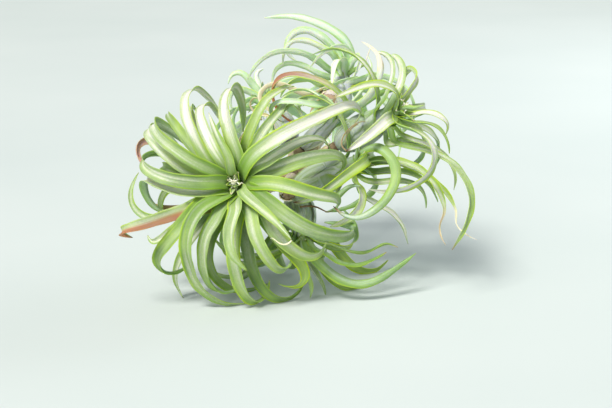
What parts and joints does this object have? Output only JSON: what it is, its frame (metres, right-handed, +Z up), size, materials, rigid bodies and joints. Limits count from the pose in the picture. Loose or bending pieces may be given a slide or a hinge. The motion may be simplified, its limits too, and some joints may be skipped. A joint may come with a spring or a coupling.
{
  "type": "air plant clump",
  "caption": "Clump of grown-together streptophylla rosettes: round bulbs with long, channelled, strongly recurved silvery green leaves on a short woody stem, at rest on its lower leaves.",
  "frame": {"origin": "middle of the clump's box, on the surface that its lower leaves rest on", "axes": "+X across the clump, from the largest rosette towards the side heads; +Y towards the rear heads, so the largest rosette looks along -Y; +Z up"},
  "size_m": [0.3042, 0.2441, 0.2274],
  "materials": {
    "leaf_green": "living leaf, mid green under fine silvery scales, bright translucent rims",
    "leaf_pale": "living leaf, pale grey-green, thickly covered in silvery scales",
    "old_wood": "rough brown old stem"
  },
  "bodies": {
    "root": {"head_front": "leaf_green", "head_right": "leaf_green", "head_middle": "leaf_green", "head_lower": "leaf_green", "head_crown": "leaf_pale", "head_rear": "leaf_pale", "head_pup": "leaf_pale", "old_stem": "old_wood"}
  },
  "joints": []
}
